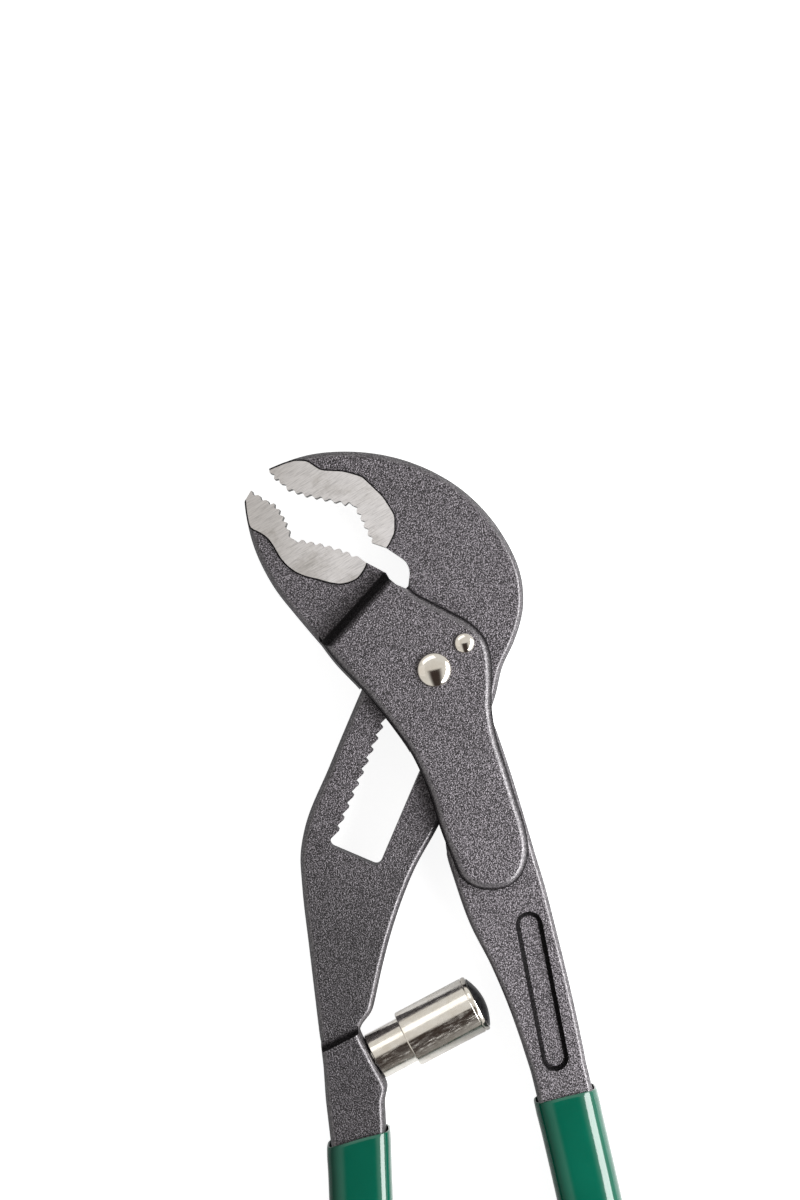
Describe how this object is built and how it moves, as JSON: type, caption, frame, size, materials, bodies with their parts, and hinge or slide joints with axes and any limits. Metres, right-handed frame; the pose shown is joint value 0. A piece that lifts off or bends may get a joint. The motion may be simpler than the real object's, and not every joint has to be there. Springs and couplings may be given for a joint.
{
  "type": "water pump pliers",
  "caption": "Water pump pliers with a racked slot joint, curved toothed jaws, dipped vinyl grips and a sprung plunger that pushes the handles apart.",
  "frame": {"origin": "middle of the underside of the box round the pliers, which lie on the rear cheek of the joint", "axes": "+Y from the handles to the jaws, +X to the right seen from the front, +Z out of the front face"},
  "size_m": [0.092, 0.2502, 0.0174],
  "materials": {
    "black_steel": "blasted and blackened forged steel",
    "green_vinyl": "glossy dipped vinyl",
    "ground_steel": "plain ground steel",
    "bright_nickel": "polished nickel plate",
    "black_rubber": "smooth black bumper"
  },
  "bodies": {
    "fixed_side": {"upper_jaw_handle": "black_steel", "left_grip": "green_vinyl", "plunger_guide": "bright_nickel", "plunger_spring": "ground_steel"},
    "slider": {"pivot_bush": "ground_steel"},
    "pawl": {"ratchet_pawl": "ground_steel", "pawl_spring": "ground_steel"},
    "moving_jaw": {"lower_jaw": "black_steel", "pivot_pin": "bright_nickel", "guide_pin": "bright_nickel"},
    "moving_handle": {"right_handle": "black_steel", "right_grip": "green_vinyl"},
    "plunger": {"plunger_sleeve": "bright_nickel", "plunger_cap": "bright_nickel", "plunger_bumper": "black_rubber"}
  },
  "joints": [
    {"name": "jaw_slide", "type": "slide", "parent": "fixed_side", "child": "slider", "axis": [0.3923, 0.9198, 0], "range_m": [-0.02718, 0]},
    {"name": "pawl_engage", "type": "hinge", "parent": "slider", "child": "pawl", "pos_m": [-0.00836, 0.08155, 0.008], "axis": [0, 0, 1], "range_deg": [-6.5, 0], "deforming": ["pawl_spring"]},
    {"name": "jaw_close", "type": "hinge", "parent": "slider", "child": "moving_jaw", "pos_m": [-0.00836, 0.08155, 0.008], "axis": [0, 0, 1], "range_deg": [-4.6, 0], "stiffness_Nm_per_rad": 2},
    {"name": "handle_swing", "type": "hinge", "parent": "moving_jaw", "child": "moving_handle", "pos_m": [-0.00836, 0.08155, 0.008], "axis": [0, 0, 1], "range_deg": [0, 22.6]},
    {"name": "plunger_slide", "type": "slide", "parent": "fixed_side", "child": "plunger", "axis": [0.8829, 0.4695, 0], "range_m": [-0.0031, 0], "deforming": ["plunger_spring"]}
  ],
  "couplings": [
    {"joint": "handle_swing", "follows": "jaw_slide", "rad_per_m": -14.447},
    {"joint": "pawl_engage", "follows": "jaw_close", "ratio": 1.41},
    {"joint": "plunger_slide", "follows": "jaw_close", "m_per_rad": 0.03736}
  ]
}
